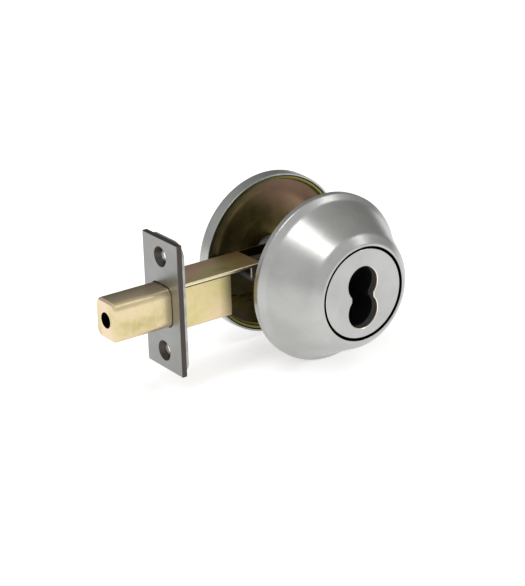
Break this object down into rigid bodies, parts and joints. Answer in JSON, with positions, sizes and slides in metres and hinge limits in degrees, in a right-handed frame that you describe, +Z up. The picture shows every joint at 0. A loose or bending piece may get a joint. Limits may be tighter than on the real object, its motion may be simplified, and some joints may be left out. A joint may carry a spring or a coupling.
{
  "type": "deadbolt lock",
  "caption": "Tubular deadbolt with a conical free-turning cylinder guard, an empty figure-8 core socket, an inside rose with thumbturn and a thrown bolt",
  "frame": {"origin": "where the cross bore's axis meets the bolt's centre line, in the middle of the door's thickness", "axes": "+Z up, -X the way the bolt is thrown, -Y the outside of the door, +Y the inside"},
  "size_m": [0.1334, 0.0883, 0.073],
  "materials": {
    "satin_chrome_guard": "satin chrome",
    "keeper_steel": "bright zinc",
    "satin_chrome_face": "satin chrome",
    "housing_zinc": "plain zinc",
    "dark_sleeve": "dark oxide",
    "throw_steel": "bright zinc",
    "tail_steel": "bright zinc",
    "retainer_steel": "bright zinc",
    "plate_steel": "bright zinc",
    "post_steel": "bright zinc",
    "screw_steel": "bright zinc",
    "satin_chrome_rose": "satin chrome",
    "dichromate_liner": "yellow zinc dichromate",
    "bushing_brass": "plain",
    "spindle_steel": "bright zinc",
    "washer_steel": "bright zinc",
    "clip_steel": "bright zinc",
    "satin_chrome_turn": "satin chrome",
    "satin_faceplate": "satin",
    "dichromate_back_plate": "yellow zinc dichromate",
    "dichromate_case": "yellow zinc dichromate",
    "dichromate_cover": "yellow zinc dichromate",
    "spring_steel": "bright zinc",
    "dichromate_bolt": "yellow zinc dichromate",
    "pin_steel": "bright zinc",
    "dichromate_link_outside": "yellow zinc dichromate",
    "dichromate_link_inside": "yellow zinc dichromate",
    "rivet_steel": "bright zinc",
    "cam_steel": "bright zinc",
    "crank_pin_steel": "bright zinc"
  },
  "bodies": {
    "lock": {"cylinder_face": "satin_chrome_face", "cylinder_housing": "housing_zinc", "core_sleeve": "dark_sleeve", "drive_retainer": "retainer_steel", "mounting_plate": "plate_steel", "mounting_posts": "post_steel", "through_screws": "screw_steel", "rose_scalp": "satin_chrome_rose", "rose_liner": "dichromate_liner", "rose_bushing": "bushing_brass", "faceplate": "satin_faceplate", "back_plate": "dichromate_back_plate", "bolt_case": "dichromate_case", "case_cover": "dichromate_cover", "detent_spring": "spring_steel"},
    "guard": {"cylinder_guard": "satin_chrome_guard", "guard_keeper": "keeper_steel"},
    "bolt_unit": {"bolt": "dichromate_bolt", "roller_pin": "pin_steel", "link_plate_outside": "dichromate_link_outside", "link_plate_inside": "dichromate_link_inside", "link_rivet": "rivet_steel"},
    "drive_unit": {"cam": "cam_steel", "crank_pin": "crank_pin_steel", "tailpiece": "tail_steel", "throw_member": "throw_steel"},
    "turn_unit": {"thumbturn": "satin_chrome_turn", "turn_spindle": "spindle_steel", "spindle_clip": "clip_steel", "wave_washer": "washer_steel"}
  },
  "joints": [
    {"name": "thumbturn_hinge", "type": "hinge", "parent": "lock", "child": "turn_unit", "pos_m": [0, 0, 0], "axis": [0, -1, 0], "range_deg": [0, 90]},
    {"name": "drive_hinge", "type": "hinge", "parent": "lock", "child": "drive_unit", "pos_m": [0, 0, 0], "axis": [0, -1, 0], "range_deg": [0, 90]},
    {"name": "bolt_slide", "type": "slide", "parent": "lock", "child": "bolt_unit", "axis": [1, 0, 0], "range_m": [0, 0.0254]},
    {"name": "guard_spin", "type": "hinge", "parent": "lock", "child": "guard", "pos_m": [0, 0, 0], "axis": [0, 1, 0], "continuous": true}
  ],
  "couplings": [
    {"joint": "drive_hinge", "follows": "thumbturn_hinge", "ratio": 1},
    {"joint": "bolt_slide", "follows": "thumbturn_hinge", "m_per_rad": 0.01617}
  ]
}
